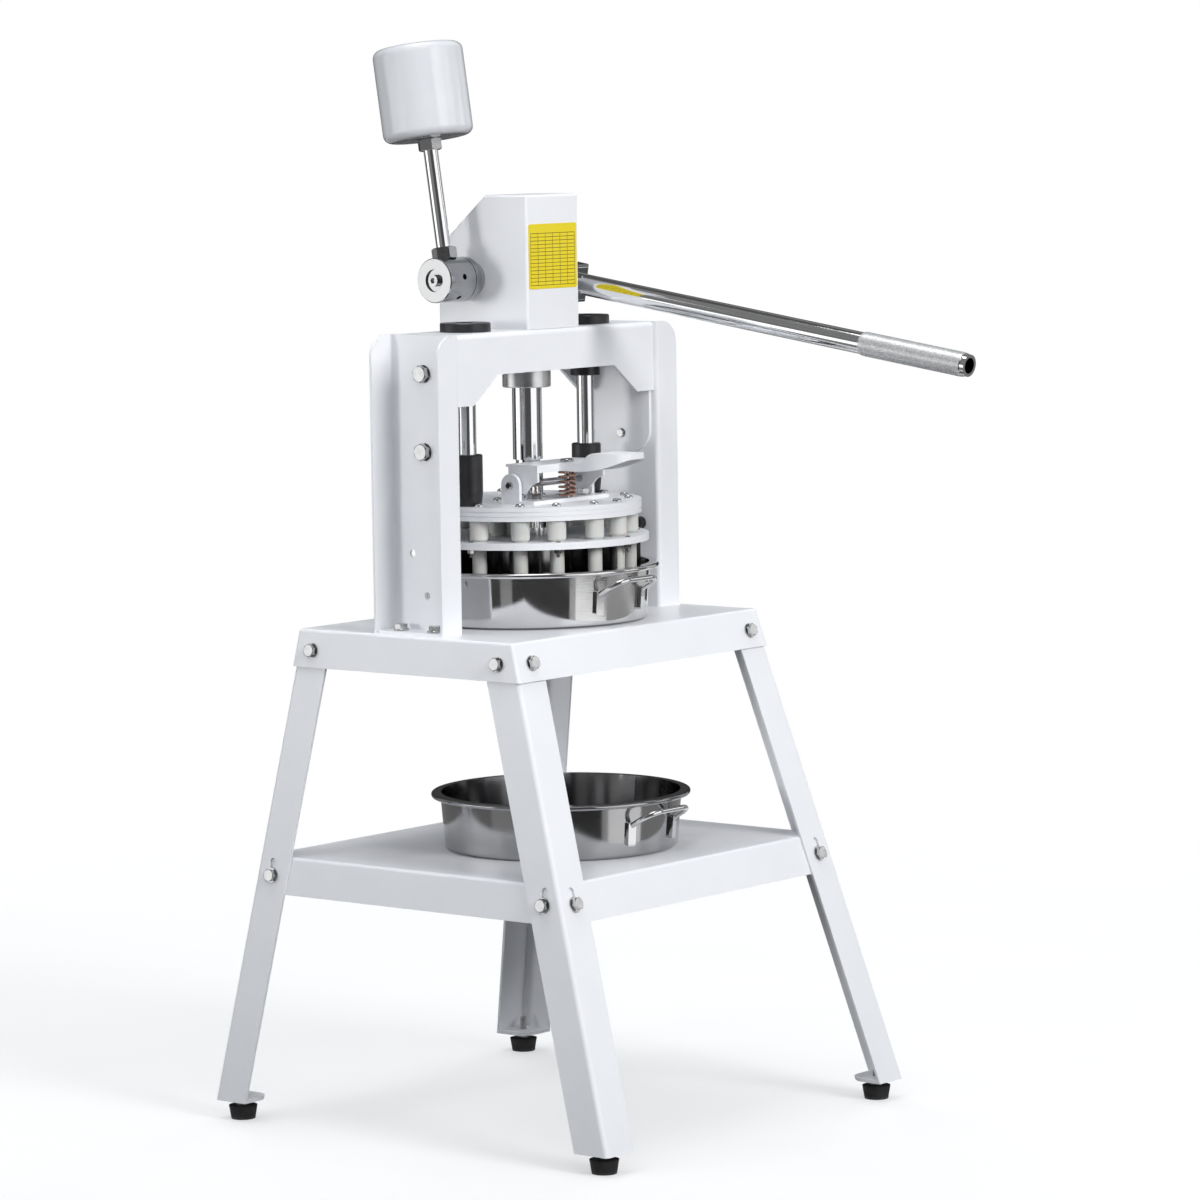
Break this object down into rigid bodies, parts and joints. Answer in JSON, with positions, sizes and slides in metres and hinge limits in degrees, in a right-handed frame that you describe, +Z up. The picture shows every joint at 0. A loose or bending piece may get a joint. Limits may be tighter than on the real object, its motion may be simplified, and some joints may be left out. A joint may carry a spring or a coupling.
{
  "type": "manual dough divider",
  "caption": "Floor-standing hand press that flattens dough in a round pan and cuts it into even pieces, with a rack-driven ram, long handle, counterweight and open stand.",
  "frame": {"origin": "on the floor, under the middle of the machine's box", "axes": "+Z up along the ram, the handle points to -Y and the counterweight is on the -X side"},
  "size_m": [0.5368, 0.7978, 1.1961],
  "materials": {
    "white_paint": "smooth white powder coat",
    "zinc_steel": "zinc-plated fasteners",
    "chrome": "polished chrome",
    "machined_steel": "turned steel",
    "stainless": "polished stainless sheet",
    "aluminium": "turned aluminium",
    "black_polymer": "black acetal",
    "rubber": "matt black rubber",
    "nylon": "cream nylon",
    "bronze": "sintered bronze",
    "spring_wire": "copper-coloured spring wire"
  },
  "bodies": {
    "stand": {"table_top": "white_paint", "lower_shelf": "white_paint", "leg_front_left": "white_paint", "leg_front_right": "white_paint", "leg_rear_left": "white_paint", "leg_rear_right": "white_paint", "foot_plates": "white_paint", "column_left": "white_paint", "column_right": "white_paint", "crosshead": "white_paint", "crosshead_tabs": "white_paint", "gear_housing": "white_paint", "stand_bolts": "zinc_steel", "m8_nuts": "zinc_steel", "base_bolts": "zinc_steel", "crosshead_bolts": "zinc_steel", "foot_nuts": "zinc_steel", "levelling_studs": "zinc_steel", "bearing_cheeks": "machined_steel", "ram_bush_ring": "machined_steel", "dough_pan": "stainless", "dough_pan_handle": "stainless", "ram_bush": "aluminium", "guide_bush_left": "black_polymer", "guide_bush_right": "black_polymer", "rubber_feet": "rubber", "column_bumpers": "rubber", "bearing_bush_left": "bronze", "bearing_bush_right": "bronze"},
    "drive_shaft": {"main_shaft": "machined_steel", "pinion_key": "zinc_steel", "pinion": "machined_steel", "handle_hub": "machined_steel", "handle_bar": "chrome", "counterweight_hub": "machined_steel", "counterweight_rod": "chrome", "counterweight_nuts": "zinc_steel", "counterweight": "white_paint", "shaft_screws": "zinc_steel"},
    "ram": {"ram": "chrome", "ram_screws": "zinc_steel", "knife_carrier": "white_paint", "knife_ring": "stainless", "radial_knives": "stainless", "centre_knife": "stainless"},
    "press_head": {"press_disc": "white_paint", "spacers": "nylon", "pillars": "nylon", "press_blocks": "nylon", "dome_screws": "zinc_steel", "guide_rods": "chrome", "rod_sleeves": "black_polymer", "latch_bracket": "white_paint", "bracket_bolts": "zinc_steel", "latch_pin": "zinc_steel", "latch_bolt": "zinc_steel", "latch_spring": "spring_wire"},
    "latch": {"latch_lever": "white_paint"},
    "spare_pan": {"spare_pan": "stainless", "spare_pan_handle": "stainless"}
  },
  "joints": [
    {"name": "shaft_turn", "type": "hinge", "parent": "stand", "child": "drive_shaft", "pos_m": [0, 0.19105, 0.9328], "axis": [-1, 0, 0], "range_deg": [0, 119.3]},
    {"name": "ram_slide", "type": "slide", "parent": "stand", "child": "ram", "axis": [0, 0, 1], "range_m": [0, 0.0625]},
    {"name": "head_slide", "type": "slide", "parent": "ram", "child": "press_head", "axis": [0, 0, 1], "range_m": [0, 0.014]},
    {"name": "latch_turn", "type": "hinge", "parent": "press_head", "child": "latch", "pos_m": [0, 0.12355, 0.7061], "axis": [1, 0, 0], "range_deg": [0, 12], "stiffness_Nm_per_rad": 2, "springref_deg": -11.46, "deforming": ["latch_spring"]},
    {"name": "spare_pan_slide", "type": "slide", "parent": "stand", "child": "spare_pan", "axis": [0, -1, 0], "range_m": [0, 0.15]}
  ],
  "couplings": [
    {"joint": "ram_slide", "follows": "shaft_turn", "m_per_rad": 0.03}
  ]
}
